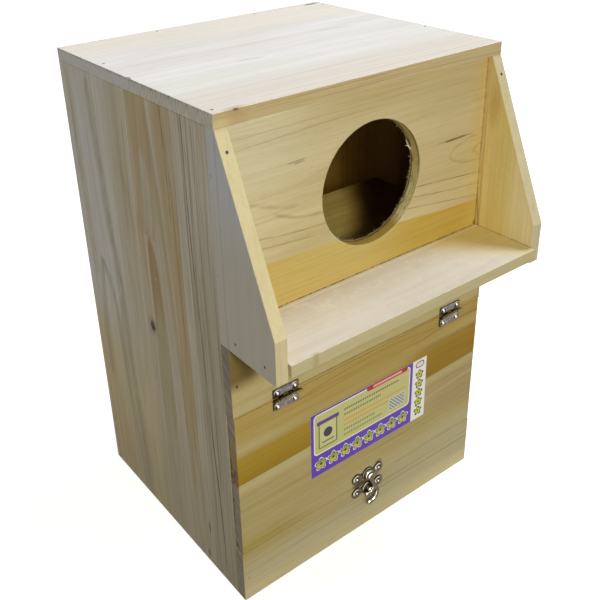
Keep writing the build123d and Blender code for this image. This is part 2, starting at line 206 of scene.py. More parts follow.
class Board(Finish):
    """Bare light wood: growth rings, fibres, pores and soft stains, then the marks of one board."""

    def __init__(self, name, grain, across, pale, deep, pith, ring_width=6.0, ring_strength=0.4,
                 bend=9.0, lean=0.0, seed=0.0):
        super().__init__(name)
        ways = dict(zip("xyz", self.measures))
        facings = dict(zip("xyz", self.facing))
        through = next(way for way in "xyz" if way not in (grain, across))
        self.along, self.flat, self.through = ways[grain], ways[across], ways[through]
        self.length = {"x": BOX_WIDTH, "z": BOX_HEIGHT}[grain]
        self.broad_facing = facings[through]
        self.seed = seed
        self.end_cut = abs(facings[grain]).between(0.6, 0.9)
        ripple = self.noise(self.grained(95, 14, 3)) - 0.5
        self.across = self.flat + ripple * 2.4
        self.rings(pith, ring_width, bend, lean)
        broad = self.noise(self.grained(150, 22, 17)).between(0.35, 0.7)
        self.colour = self.mix(broad * 0.5, tone(pale), tone(deep))
        self.ring_strength = ring_strength
        self.hair = self.noise(self.grained(26, 0.5, 7), roughness=0.6)
        self.strand = self.noise(self.grained(85, 1.7, 31), roughness=0.55)
        self.sheaf = self.noise(self.grained(190, 6.0, 37))
        self.pore = self.noise(self.grained(5, 0.42, 11), detail=1.0).between(0.60, 0.72)
        self.height = self.hair * 0.5 + self.late * -0.3 + self.pore * -0.5

    def grained(self, along_size, cross_size, shift=0.0):
        """Coordinates stretched along the grain, for noise."""
        along = self.along / along_size + (self.seed + shift)
        return self.joined(along, self.flat / cross_size, self.through / cross_size)

    def rings(self, pith, ring_width, bend, lean):
        """Growth rings as distance from the pith, which wanders slowly along the plank."""
        swing = self.noise(self.grained(230, 90, 23), detail=1.0) - 0.5
        radius = self.distance(self.across - pith[0], self.through - pith[1])
        count = (radius + swing * (bend * 4) + self.along * lean) / ring_width
        phase = self.math("FRACT", count)
        year = self.add("ShaderNodeTexWhiteNoise", {"W": self.math("FLOOR", count)}, noise_dimensions="1D")
        strong = Value(self, year.outputs["Value"]) * 0.8 + 0.2
        late = self.math("POWER", phase, 3.0) * phase.between(1.0, 0.92)
        line = phase.between(0.70, 0.88) * phase.between(1.0, 0.90)
        faded = self.noise(self.grained(70, 9, 41)).between(0.36, 0.62)
        self.late = (late * 0.45 + line * faded) * strong

    def wander(self, points):
        """Where across the board a mark lies: through points (along, across, along, ...) or straight."""
        if isinstance(points, (int, float)):
            points = (0, points, self.length, points)
        node = self.add("ShaderNodeFloatCurve", {"Value": self.along / REACH})
        curve = node.mapping.curves[0].points
        spots = sorted((along / REACH, across / REACH) for along, across in zip(points[::2], points[1::2]))
        curve[0].location = spots[0]
        curve[-1].location = spots[-1]
        for spot in spots[1:-1]:
            curve.new(*spot)
        node.mapping.extend = "HORIZONTAL"
        node.mapping.update()
        return Value(self, node.outputs[0]) * REACH

    def span(self, start, end, fade):
        """One from start to end along the grain, fading out beyond."""
        least = 0.01
        opening = self.along.between(start - fade, start + least)
        return opening * self.along.between(end + fade + least, end)

    def carve(self, mask, depth):
        self.height = self.height + mask * -depth

    def streak(self, points, width, colour, strength=0.6, fade=20.0, start=None, end=None):
        """A soft line that follows the grain."""
        line = abs(self.across - self.wander(points)).between(width, 0.0)
        start = min(points[::2]) if start is None else start
        end = max(points[::2]) if end is None else end
        broken = self.noise(self.grained(14, 3, width * 5 + start)).between(0.3, 0.6, 0.45, 1.0)
        self.tint(line * self.span(start, end, fade) * broken, colour, strength)

    def band(self, low, high, colour, strength=0.6, soft_low=2.0, soft_high=2.0,
             start=-50.0, end=400.0, fade=30.0):
        """A wide band of another tint between two lines that follow the grain."""
        above = (self.across - self.wander(low)).between(-soft_low, soft_low)
        below = (self.across - self.wander(high)).between(soft_high, -soft_high)
        self.tint(above * below * self.span(start, end, fade), colour, strength)

    def spot(self, along, across, length, width, colour, strength=0.8, edge=0.4, depth=0.0, within=1.0):
        """A round or oval mark."""
        reach = self.distance((self.along - along) / (length / 2), (self.flat - across) / (width / 2))
        ragged = reach + (self.noise(self.place, 1.6) - 0.5) * 0.9
        mask = ragged.between(1.0 + edge, 1.0 - edge) * within
        self.tint(mask, colour, strength)
        if depth:
            self.carve(mask, depth)

    def edges(self, colour, strength):
        """The board's narrow faces have their own tint."""
        self.tint(abs(self.broad_facing).between(0.8, 0.5), colour, strength)

    def inner_face(self, way, direction, colour=(186, 148, 90)):
        """The unplaned face inside the box is darker and browner, partly as painted shade for the dim inside
        of the box.
        """
        inside = (self.facing["xyz".index(way)] * direction).between(0.5, 0.8)
        self.tint(inside, colour, 0.85)
        return inside

    def grain(self, amount, sheaf):
        """Rings, strands and fine fibres darken the wood along the grain."""
        depth = self.late * self.ring_strength
        for field, share in ((self.hair, 0.7), (self.strand, 1.1), (self.sheaf, sheaf)):
            depth = depth + (field - 0.5) * share
        darker = (depth + self.pore * 0.18).between(-0.45, 1.0) * amount
        tinted = self.mix(1.0, self.colour, tone(GRAIN_SHADE), "MULTIPLY")
        self.colour = self.mix(darker, self.colour, tinted)

    def end_grain(self, colour, strength, slant, depth):
        """Sawn ends are darker, with the rings seen end on and fine cracks through the thickness."""
        level = self.flat + self.through * slant
        narrow = self.joined(level * 1.1, self.through * 0.09, self.along * 0.3)
        lines = self.noise(narrow).between(0.42, 0.62)
        shade = self.mix(lines, tone(colour), tone(colour, depth))
        self.colour = self.mix(self.end_cut * strength, self.colour, shade)
        self.carve(lines * self.end_cut, 0.8)

    def joint(self, way, place, colour=(92, 78, 56), strength=0.6, width=0.5):
        """A thin uneven dark line where another board's edge meets this one."""
        where = self.measures["xyz".index(way)]
        uneven = self.noise(self.place, 3.5, 3.0, 0.6).between(0.38, 0.62, 0.35, 1.0)
        self.tint(abs(where - place).between(width, 0.0) * uneven, colour, strength)

    def slope(self, value, low, high, colour, strength, within=1.0):
        """A tint that grows smoothly as a place or any other value goes from low to high."""
        self.tint(value.between(low, high) * within, colour, strength)

    def cut(self, end_colour=(150, 128, 92), end_strength=0.6, grain=0.8, slant=0.0, end_depth=0.84,
            sheaf=0.8):
        """The grain over the marks so far, and the sawn ends."""
        self.grain(grain, sheaf)
        self.end_grain(end_colour, end_strength, slant, end_depth)
        self.bump(self.height, WOOD_RELIEF)

    def finished(self):
        rough = self.hair * 0.14 + 0.56 + self.end_cut * 0.12
        return self.set(Base_Color=self.colour, Roughness=rough, Specular_IOR_Level=DULL_SHEEN)

    def done(self, *given, **named):
        self.cut(*given, **named)
        return self.finished()


def top_wood():
    """Top board: nearly white, with a pinkish strip at the front and at the back."""
    wood = Board("top_wood", "x", "y", (241, 238, 236), (228, 221, 214), (92, 320), 5, 0.2, seed=1)
    left, front, up = wood.measures
    each(wood.band,
        ((0, 157, 230, 136), 400, (242, 232, 219), 0.7, 8, 5),
        (-20, (0, 32, 230, 31), (231, 220, 208), 0.75, 1, 9),
        (45, (0, 68, 230, 66), (234, 235, 223), 0.5, 6, 6, -20, 75, 50),
    )
    each(wood.streak,
        ((30, 130, 70, 131), 2.2, (196, 194, 190), 0.35, 14),
        ((20, 114, 120, 112), 2.6, (200, 196, 188), 0.35, 25),
        ((166, 109, 184, 107.6), 2, (180, 178, 174), 0.45, 8),
        ((75, 79, 85, 78), 1.8, (176, 176, 176), 0.55, 9),
        ((0, 73, 60, 71), 1.2, (192, 190, 184), 0.3),
        ((0, 31, 230, 29), 2, (206, 196, 184), 0.3),
        ((0, 9, 230, 8), 1, (200, 188, 172), 0.4),
    )
    wood.edges((201, 182, 128), 0.9)
    edge_line = wood.noise(wood.joined(left * 0.012, up * 0.8, 0), 1, 3)
    wood.tint(wood.facing[1].between(-0.6, -0.9) * edge_line.between(0.48, 0.64), (170, 144, 90), 0.55)
    low_corner = left.between(22, 8) * up.between(357.5, 354.5)
    wood.tint(low_corner, (222, 206, 152), 0.75)
    each(wood.spot,
        (15, 1.5, 12, 5, (186, 148, 104), 0.45, 0.8),
        (14.6, 0.3, 3.2, 1.5, (128, 78, 52), 0.85, 0.5, 0, up.between(358.6, 359.2)),
        (219, 189, 13, 3.2, (64, 56, 48), 0.85, 0.4, 2),
        (0.6, 92, 1.6, 4.5, (120, 108, 92), 0.8, 0.4, 2),
    )
    # A dark ragged line along the upper arris of the sawn end: small chips, with painted shade in them.
    chipped_and_shaded = wood.noise(wood.place, 1.8, 3, 0.6).between(0.46, 0.6)
    arris = wood.end_cut * up.between(357.6, 359.6) * chipped_and_shaded
    wood.cut((216, 210, 201), 0.8, 0.4)
    wood.tint(wood.end_cut * front.between(62, 100), (222, 218, 224), 0.4)
    wood.tint(arris, (112, 104, 96), 0.6)
    return wood.finished()


def left_side_wood():
    """Left side: several glued strips with brown bands, arches, a knot and a long thin crack."""
    wood = Board("left_side_wood", "z", "y", (209, 200, 176), (180, 167, 138), (118, -70), 7, 0.3, seed=2)
    _, front, up = wood.measures
    arch_front = (60, 74, 130, 75, 180, 76.5, 220, 79, 240, 81.5, 250, 84.5, 256, 88)
    arch_back = (60, 92, 240, 91.5, 250, 90.5, 256, 88)
    each(wood.band,
        (103, 260, (214, 200, 158), 0.75, 10, 10, -40, 90, 90),
        ((0, 140, 360, 128), 260, (221, 216, 208), 0.8, 16, 10, 200, 400, 80),
        (-20, 37, (184, 176, 154), 0.8, 3, 1.5),
        (47, (0, 60, 150, 61, 360, 68), (190, 168, 126), 0.85, 0.4, 6, 150, 400, 90),
        ((60, 56, 160, 57, 250, 63, 335, 73), (60, 61, 160, 64, 250, 70, 335, 79),
         (178, 160, 118), 0.6, 2, 2, 80, 330, 40),
        ((251, 79, 315, 76, 351, 75), (251, 101, 315, 98, 351, 99),
         (191, 169, 128), 0.7, 1.5, 1.5, 258, 400, 5),
        ((255, 85, 266, 81, 290, 79.5, 318, 84), (255, 87, 266, 91, 290, 91.5, 318, 88),
         (199, 192, 168), 0.9, 1.5, 1.5, 260, 312, 6),
        (arch_front, arch_back, (176, 164, 122), 0.7, 1.6, 1, 130, 252, 70),
        (arch_front, arch_back, (172, 144, 102), 0.85, 1.6, 1, 222, 252, 40),
        ((205, 93, 255, 95), (205, 98, 255, 103), (190, 162, 122), 0.55, 1.5, 1.5, 225, 262, 16),
        ((0, 98, 100, 95.5, 170, 93, 255, 92), (0, 101, 100, 98, 170, 95, 255, 94),
         (218, 209, 186), 0.6, 0.8, 0.8, 10, 235, 25),
        (37, 47, (204, 197, 178), 0.75, 1.5, 0.3),
        ((175, 60, 260, 63, 351, 71), (175, 62, 260, 66, 351, 75),
         (216, 208, 188), 0.6, 1.2, 1.2, 190, 345, 30),
        ((20, 158, 160, 178), (20, 190, 160, 194), (206, 176, 124), 0.4, 6, 6, 30, 120, 50),
        ((190, 148, 320, 158), (190, 168, 320, 178), (214, 214, 214), 0.5, 7, 7, 210, 310, 40),
    )
    wood.slope(up, 230, 310, (208, 206, 202), 0.55, front.between(50, 38))
    wood.slope(up, 250, 325, (212, 198, 174), 0.5, front.between(60, 52))
    wood.tint(front.between(46, 36) * wood.strand.between(0.5, 0.66), (142, 130, 104), 0.35)
    wood.slope(up, 130, 30, (172, 160, 128), 0.3)
    each(wood.streak,
        ((0, 47.2, 351, 47.2), 0.5, (120, 106, 84), 0.6, 1),
        ((20, 23, 50, 23, 125, 27, 150, 28, 260, 33, 350, 34), 1.3, (108, 96, 74), 0.75),
        ((45, 23.2, 85, 24.5, 130, 27.3), 0.8, (50, 42, 30), 0.9, 12),
        ((60, 30, 200, 31, 350, 29), 0.9, (132, 120, 94), 0.6),
        ((100, 21, 350, 24), 1.1, (140, 128, 104), 0.6),
        ((120, 36, 350, 36), 0.9, (140, 128, 104), 0.6),
        ((90, 18, 210, 20), 1, (146, 134, 108), 0.5),
        ((290, 56, 351, 57), 1.1, (116, 86, 48), 0.75),
        ((210, 52, 345, 54), 0.8, (146, 122, 82), 0.6),
        ((0, 134, 60, 136, 130, 140, 200, 142, 240, 147, 290, 150, 340, 155), 8,
         (154, 146, 120), 0.65),
        ((0, 141, 60, 146, 150, 152, 180, 156, 200, 163, 205, 167), 6.5, (160, 152, 124), 0.55, 6),
        ((100, 179, 150, 177, 185, 173, 205, 168), 6.5, (160, 152, 124), 0.55, 6),
        ((200, 180, 340, 184), 8, (172, 162, 126), 0.55),
    )
    wood.joint("z", 351.4, strength=0.3)
    wood.joint("y", 8.5, strength=0.35, width=0.35)
    each(wood.streak,
        ((190, 107, 240, 105, 300, 103, 351, 101), 1, (226, 219, 202), 0.75),
        ((240, 103.6, 351, 99.8), 0.5, (140, 124, 96), 0.5),
        ((280, 110, 325, 108), 0.8, (116, 102, 78), 0.6, 8),
        ((138, 101, 158, 104), 0.6, (112, 98, 74), 0.65, 4),
        ((136, 105, 148, 106), 0.5, (112, 98, 74), 0.6, 4),
    )
    each(wood.spot,
        (183, 97, 14, 11, (146, 128, 96), 0.5, 0.6),
        (183, 96.6, 8, 6, (44, 32, 20), 0.97, 0.25, 3),
        (184, 98, 3, 2, (120, 96, 64), 0.6, 0.4),
        (37, 42, 12, 1.6, (74, 62, 44), 0.8, 0.5),
        (8, 46, 7, 2.4, (60, 50, 36), 0.6, 0.5),
    )
    wood.inner_face("x", 1)
    return wood.done(grain=0.92)


def right_side_wood():
    """Right side: quieter glued strips."""
    wood = Board("right_side_wood", "z", "y", (206, 194, 160), (176, 160, 122), (60, 300), 6.5, 0.26, seed=3)
    _, front, up = wood.measures
    wood.band(66, 128, (198, 180, 136), 0.5, 0.4, 0.4)
    each(wood.streak,
        ((0, 20, 180, 26, 360, 22), 1.6, (150, 132, 96), 0.5),
        ((0, 98, 200, 92, 360, 99), 2.2, (156, 136, 96), 0.5),
        ((40, 160, 230, 168, 351, 164), 1.8, (154, 138, 104), 0.5),
    )
    nest_side = wood.inner_face("x", -1, (176, 138, 80)) * up.between(110, 200)
    # Painted light and shade on the nest side: bright yellow towards the back, as painted light from the lit
    # back of the box, and dark brown towards the front as painted shade.
    wood.slope(front, 118, 164, (255, 232, 118), 1, nest_side)
    wood.slope(front, 98, 72, (118, 82, 42), 1, nest_side)
    return wood.done()


def back_wood():
    """Back board, which stands upright between the sides."""
    wood = Board("back_wood", "z", "x", (206, 195, 166), (178, 162, 126), (90, 320), 6.5, 0.28, seed=4)
    wood.band(72, 141, (198, 182, 142), 0.5, 0.4, 0.4)
    each(wood.streak,
        ((0, 40, 200, 46, 351, 38), 2, (156, 138, 100), 0.5),
        ((0, 118, 150, 110, 351, 121), 1.4, (150, 132, 94), 0.55),
        ((30, 190, 210, 184, 351, 188), 1.8, (158, 140, 104), 0.45),
    )
    wood.spot(236, 152, 8, 6, (84, 62, 38), 0.9, 0.3, 1.5)
    wood.inner_face("y", -1)
    return wood.done()


def panel_wood():
    """Board with the entrance: cream, with a yellow strip along its foot."""
    wood = Board("panel_wood", "x", "z", (220, 207, 163), (196, 177, 122), (293, 64), 2.5, 0.18,
                  bend=5, lean=-0.02, seed=5)
    left, front, up = wood.measures
    wood.slope(left, 120, 200, (206, 188, 138), 0.6)
    wood.slope(left + up * -0.8, -150, -250, (228, 222, 190), 0.7)
    strip = (0, 264, 27, 260, 78, 257, 133, 253, 212, 247, 240, 246)
    each(wood.band,
        (200, strip, (213, 189, 112), 0.93, 2, 0.8),
        (200, strip, (199, 170, 78), 0.85, 2, 0.8, 165, 260, 60),
        ((0, 331, 240, 334), 365, (198, 178, 126), 0.5, 5, 2, 90, 240, 50),
    )
    each(wood.streak,
        ((52, 318.3, 61, 318.6), 0.9, (112, 92, 52), 0.85, 3),
        ((56, 317.2, 62, 317.4), 0.6, (112, 92, 52), 0.7, 2),
        ((186, 298.9, 202, 299.2), 1.4, (116, 88, 30), 0.95, 4),
        ((180, 299.4, 207, 299.4), 0.7, (132, 104, 48), 0.8, 6),
        ((24, 300, 34, 296.1, 42, 292.8, 52, 291), 2.4, (176, 148, 96), 0.42, 8),
        ((38, 289.6, 48, 285.9, 60, 282.1, 72, 280.4), 2, (166, 142, 86), 0.5, 8, 44),
        ((20, 278, 50, 274, 74, 272), 0.9, (158, 134, 80), 0.6),
        ((26, 270.5, 53, 267.9, 72, 266), 0.8, (158, 134, 80), 0.5),
        ((150, 274.6, 189, 271.5, 222, 268.4), 0.8, (134, 108, 56), 0.7),
        ((154, 267.1, 184, 262.8, 221, 259.4), 0.8, (146, 120, 66), 0.65),
        ((148, 260, 190, 254.2, 220, 250.1), 0.8, (150, 124, 70), 0.6),
        ((189.6, 287.5, 191, 290.6, 198, 294.2, 206, 296.2, 214, 297.4), 1.7, (172, 146, 84), 0.5, 2),
        ((189.6, 287.5, 190.6, 285.4, 194, 283, 206, 279.5, 219, 278.4), 1.7, (172, 146, 84), 0.5, 2),
        ((213.4, 286.4, 215, 288.2, 221, 290.6), 2.2, (184, 152, 66), 0.7, 2),
        ((213.4, 286.4, 215, 284.2, 222, 280.8), 2.2, (184, 152, 66), 0.7, 2),
        ((0, 342, 240, 340), 0.8, (168, 148, 102), 0.25),
        ((15, 335, 110, 338), 0.8, (164, 142, 94), 0.35),
    )
    wood.slope(left, 204, 220, (212, 184, 108), 0.5)
    wood.joint("x", 221, (124, 96, 44), 0.85, 1)
    wood.joint("z", 226.5, (84, 62, 28), 0.85, 0.8)
    # Painted shade in the corner where the porch floor and the right wing meet the panel.
    wood.spot(220.5, 228.5, 3.5, 4, (116, 76, 34), 0.7, 0.5)
    wood.inner_face("y", 1)
    side, rise = left - ENTRANCE_ACROSS, up - ENTRANCE_UP
    radius = wood.distance(side, rise)
    wall = radius.between(42.25, 41.9) * radius.between(41.2, 41.5)
    sawn = wood.joined(wood.math("ARCTAN2", rise, side) * 6, front * 1.5, 0)
    torn = wood.noise(sawn, 1, 3, 0.65)
    upper_right = wall * up.between(276, 300)
    frayed = front + (torn - 0.5) * 7
    each(wood.tint,
        (wall, (255, 243, 172), 1),
        (wall * torn.between(0.5, 0.62), (184, 160, 90), 0.8),
        (wall * torn.between(0.44, 0.32), (250, 240, 200), 0.85),
        (wall * up.between(257, 250), (188, 150, 48), 0.85),
        (upper_right, (224, 200, 112), 0.5),
        (upper_right * front.between(5.4, 3.8), (136, 108, 46), 0.75),
        (wall * frayed.between(9.4, 10.4), (84, 62, 28), 0.8),
        # Painted highlight: a pale ring round the entrance on the front face.
        (radius.between(42.8, ENTRANCE_RADIUS) * front.between(3.4, 3.1), (228, 218, 180), 0.5),
    )
    wood.carve(wall * torn, 5)
    return wood.done(end_strength=0, grain=0.62, sheaf=0.35)


def front_wood():
    """The door and its two rails, sawn from one board, so that the grain runs on across the gaps."""
    wood = Board("front_wood", "x", "z", (203, 190, 143), (181, 162, 110), (150, 90), 2.6, 0.2,
                  bend=6, lean=-0.03, seed=6)
    left, front, up = wood.measures
    each(wood.band,
        ((0, 166, 230, 167), 400, (197, 184, 128), 0.7, 1.5, 2),
        ((0, 138, 110, 135, 230, 145), (0, 163, 230, 165), (189, 164, 92), 0.9, 8, 1.5),
        ((0, 146, 230, 150), (0, 160, 230, 161), (178, 150, 74), 0.45, 4, 3, 130, 300, 60),
        ((0, 107, 110, 109, 230, 113), (0, 130, 120, 134, 230, 142), (176, 146, 38), 0.93, 0.8, 6),
        ((0, 106.5, 110, 108.5, 230, 112.5), (0, 114, 120, 117, 230, 126),
         (160, 124, 30), 0.6, 0.8, 7),
    )
    brown_right = up.between(106, 114) * up.between(146, 136) * left.between(130, 190)
    wood.slope(brown_right, 0, 1, (156, 122, 42), 0.62)
    each(wood.band,
        ((0, 99, 110, 101, 230, 106), (0, 106, 110, 108, 230, 112), (206, 192, 142), 0.7, 4, 0.8),
        ((0, 56, 230, 58), (0, 99, 110, 101, 230, 106), (188, 171, 116), 0.8, 8, 4),
        ((0, 42, 40, 41, 80, 34), (0, 54, 40, 52, 80, 44), (166, 149, 50), 0.75, 8, 8, -10, 30, 50),
        ((60, 36, 230, 28), (60, 48, 230, 40), (192, 176, 126), 0.5, 5, 5, 60, 140, 50),
        (-10, (0, 30, 230, 34), (207, 200, 164), 0.75, 1, 7),
        ((120, 12, 230, 14), (120, 46, 230, 56), (198, 190, 152), 0.7, 8, 8, 150, 300, 60),
    )
    pinkish = left.between(166, 200) * up.between(64, 76) * up.between(110, 100)
    wood.tint(pinkish, (178, 160, 118), 0.6)
    wood.slope(up, 20, 5, (234, 222, 176), 0.65)
    each(wood.streak,
        ((50, 164, 190, 163), 1, (134, 106, 50), 0.7),
        ((0, 150, 230, 154), 0.9, (166, 138, 72), 0.55),
        ((55, 152, 90, 156, 140, 157, 175, 154), 1.2, (160, 130, 62), 0.55),
        ((60, 147, 110, 150, 160, 149), 1, (164, 136, 70), 0.5),
        ((166, 148, 190, 151, 230, 152), 1.6, (148, 118, 52), 0.6, 10),
        ((0, 107, 110, 109, 230, 113), 0.8, (140, 106, 30), 0.7),
        ((0, 121, 60, 123, 130, 126), 1, (158, 126, 44), 0.5),
        ((110, 28, 230, 27), 1.2, (156, 140, 96), 0.5),
        ((0, 33, 230, 32), 1.4, (164, 148, 102), 0.4),
        ((0, 25, 120, 24), 2, (176, 164, 120), 0.4),
        ((130, 70, 180, 72, 230, 78), 1.4, (164, 146, 98), 0.35),
        ((0, 84, 60, 83), 2.2, (176, 154, 96), 0.45),
        ((0, 66, 130, 68), 2, (200, 188, 140), 0.45),
        ((170, 90, 230, 96), 2.4, (206, 196, 156), 0.5),
    )
    # Painted shadow of the left wing and the porch on the upper left of the front boards.
    wood.tint(up.between(178, 192) * left.between(28, 14), (94, 72, 32), 0.95)
    wood.slope(left, 60, 24, (150, 130, 76), 0.5, up.between(176, 200))
    # Painted shade round and under the latch plates and the hook; the small reddish spot at the upper right
    # is a stain.
    each(wood.spot,
        (109, 43.8, 15, 5.5, (62, 50, 28), 0.85, 0.5),
        (109, 49, 10, 7, (74, 60, 34), 0.6, 0.6),
        (122, 44, 8, 11, (78, 64, 38), 0.6, 0.6),
        (119, 26, 12, 9, (104, 84, 36), 0.6, 0.7),
        (127, 56.5, 7, 2.2, (112, 62, 44), 0.6, 0.5),
    )
    wood.inner_face("y", 1)
    wood.cut((160, 150, 137), 0.85, 0.65, slant=-1, end_depth=0.72)

    # Flaws in the left ends, over their end grain
    left_end = left.between(1.2, 0.2)
    flaw = wood.noise(wood.joined(0, front * 0.5, up * 0.16), 1, 3)
    brown = left_end * up.between(104, 108) * up.between(144, 138)
    dark = left_end * up.between(103, 106) * up.between(121, 116)
    seam = left_end * (front + flaw * 6).between(9.6, 10.6)
    seam = seam * up.between(60, 80) * up.between(152, 128)
    # Painted shade: a small notch in the end, shown only as a dark spot.
    notch = left_end * up.between(46.5, 47.5) * up.between(52, 50) * front.between(4, 5.5)
    each(wood.tint,
        (brown, (158, 122, 58), 0.65),
        (dark * flaw.between(0.38, 0.52), (70, 40, 28), 0.9),
        (dark * flaw.between(0.48, 0.36), (168, 118, 104), 0.5),
        (seam, (58, 40, 24), 0.85),
        (notch, (36, 26, 16), 0.9),
    )
    return wood.finished()


def porch_wood():
    """Porch floor: pinkish cream on top, with painted shade that turns it yellower by the right wing."""
    wood = Board("porch_wood", "x", "y", (215, 207, 192), (203, 192, 171), (-20, 320), 6, 0.25, seed=7)
    left, front, _ = wood.measures
    blotch = wood.noise(wood.place, 9, 3, 0.6)
    speck = wood.noise(wood.place, 1.3, 2, 0.7)
    wood.slope(blotch, 0.52, 0.72, (214, 192, 180), 0.65)
    wood.slope(blotch, 0.46, 0.3, (224, 217, 197), 0.65)
    wood.slope(speck, 0.64, 0.76, (182, 166, 142), 0.55)
    wood.slope(front, -18, -44, (222, 216, 206), 0.5)
    # Painted shade of the right wing: the floor beside it turns yellower.
    wood.slope(left + front * 0.9, 148, 192, (225, 206, 128), 0.85)
    wood.edges((202, 190, 142), 0.85)
    wood.joint("y", 3, (104, 82, 48), 0.6, 1)
    wood.joint("x", 221.5, (120, 100, 60), 0.5, 0.8)
    wood.spot(26, -50.4, 4, 3, (164, 144, 98), 0.4, 0.7)
    # Painted highlight along the front edge of the porch floor.
    wood.streak((0, -50.3, 230, -50.3), 1.3, (240, 228, 186), 0.8)
    return wood.done((200, 186, 144), 0.6, 0.34)


def left_wing_wood():
    """Left wing of the porch: greyish outside, cream on its sawn edges."""
    wood = Board("left_wing_wood", "z", "y", (219, 206, 162), (203, 186, 136), (-60, 110), 6, 0.3, seed=8)
    outside = wood.facing[0].between(-0.6, -0.8)
    wood.tint(outside, (193, 188, 174), 0.9)
    wood.slope(wood.measures[2], 262, 326, (201, 200, 203), 0.85, outside)
    each(wood.streak,
        ((200, -12, 351, -12), 1.2, (160, 150, 126), 0.4),
        ((214, -30, 300, -26), 1.6, (172, 166, 148), 0.4),
        ((214, 2, 351, 3), 2, (206, 202, 190), 0.4),
    )
    wood.edges((222, 210, 168), 0.6)
    return wood.done((208, 196, 156), 0.6, 0.34)


def right_wing_wood():
    """Right wing of the porch: yellow by the entrance panel, pinkish cream towards the front."""
    wood = Board("right_wing_wood", "z", "y", (246, 228, 158), (234, 209, 130), (-60, 160), 3, 0.08, seed=8.5)
    _, front, up = wood.measures
    wood.slope(front, -18, -34, (254, 242, 198), 0.75)
    wood.slope(up, 300, 345, (228, 206, 146), 0.4)
    each(wood.streak,
        ((200, -24, 351, -23), 1, (176, 150, 92), 0.6, 30, 226, 300),
        ((226, -21.5, 300, -20), 0.8, (250, 236, 196), 0.6),
        ((226, -36, 262, -31), 1.1, (122, 96, 48), 0.8, 8),
        ((226, -8, 330, -6), 2.4, (214, 184, 112), 0.3),
        ((240, -14, 340, -10), 0.9, (206, 174, 104), 0.45),
    )
    wood.spot(318, -5, 26, 9, (206, 168, 80), 0.5, 0.8)
    # Painted shade, darker and oranger, where the wing meets the entrance panel.
    wood.slope(front, -1, 3, (226, 198, 118), 0.3)
    wood.joint("z", 226.4, (150, 122, 66), 0.6, 0.9)
    wood.edges((205, 196, 163), 0.92)
    return wood.done((204, 196, 160), 0.6, 0.5)


def shelf_wood():
    """Landing shelf inside the entrance, with painted shade beyond the reach of the light that comes in
    through the entrance.
    """
    wood = Board("shelf_wood", "x", "y", (240, 218, 128), (218, 190, 100), (60, 260), 6, 0.35, seed=9)
    left, front, _ = wood.measures
    # Painted shade: brown and then dark beyond a slanting line, where the light through the entrance ends.
    away = left + front * -0.885
    wood.slope(away, 84, 106, (200, 148, 66), 0.55)
    wood.slope(away, 94, 124, (112, 74, 34), 0.95)
    return wood.done()


def bottom_wood():
    """Bottom of the nest chamber."""
    wood = Board("bottom_wood", "x", "y", (200, 188, 152), (172, 154, 116), (100, -60), 6.5, 0.3, seed=10)
    return wood.done()


def nail_steel(name="nail_steel", bright=(112, 104, 94), dull=(50, 44, 36), metal=1):
    """Wire nails, a little dulled."""
    finish = Finish(name)
    speck = finish.noise(finish.place, 0.7, 3, 0.7)
    finish.bump(speck, 0.05)
    return finish.set(Base_Color=finish.mix(speck, tone(bright), tone(dull)), Metallic=metal,
                      Roughness=speck.between(0.3, 0.7, 0.3, 0.55), Specular_IOR_Level=DULL_SHEEN)


def filled_nails(name, bare, filled, filler):
    """Nails that are bare steel at the height bare and filled over and sanded at the height filled."""
    finish = Finish(name)
    speck = finish.noise(finish.place, 0.7, 3, 0.7)
    finish.colour = finish.mix(speck, tone((84, 78, 68)), tone((42, 36, 30)))
    cover = finish.measures[2].between(bare, filled)
    finish.tint(cover, filler)
    finish.bump(speck, 0.05)
    return finish.set(Base_Color=finish.colour, Metallic=finish.math("SUBTRACT", 1, cover), Roughness=0.5,
                      Specular_IOR_Level=DULL_SHEEN)


class Plating(Finish):
    """Thin nickel over pressed steel, with painted highlights where a curve would face the light and painted
    shade in the hollows.
    """

    def __init__(self, name, flat):
        super().__init__(name)
        cloud = self.noise(self.place, 2.2, 3, 0.6)
        self.colour = self.mix(cloud.between(0.35, 0.62), tone(flat), tone(flat, 0.72))
        self.relief = cloud * 0.3

    def paired(self, value, middle, half):
        """The distance from the nearer of two places that lie half to either side of the middle."""
        off = value - middle
        return off - self.math("SIGN", off) * half

    def ring(self, across, upward, radius, width, strength=1):
        """A pressed ring, with a painted highlight on its side towards the light and painted shade on the
        other.
        """
        reach = self.distance(across, upward)
        lean = (across * -0.6 + upward * 0.8) / reach
        line = abs(reach - radius).between(width, 0)
        self.relief = self.relief + line
        self.tint(line * lean.between(-0.1, -0.7), (26, 20, 10), strength)
        self.tint(line * lean.between(0.25, 0.85), PAINTED_GLINT, strength)

    def stroke(self, across, upward, length, width, colour, strength):
        """A short slanting painted reflection."""
        along = abs(across * 0.45 + upward * -0.89)
        aside = abs(across * 0.89 + upward * 0.45)
        mask = along.between(length * 0.55, length * 0.3) * aside.between(width, 0)
        self.tint(mask, colour, strength)

    def plate(self, depth=0.25, rough=0.26):
        fine = self.noise(self.place, 0.3, 2, 0.6)
        self.bump(self.relief + fine * 0.03, depth)
        spread = fine.between(0.3, 0.7, rough * 0.8, rough * 1.3)
        return self.set(Base_Color=self.colour, Metallic=1, Roughness=spread)


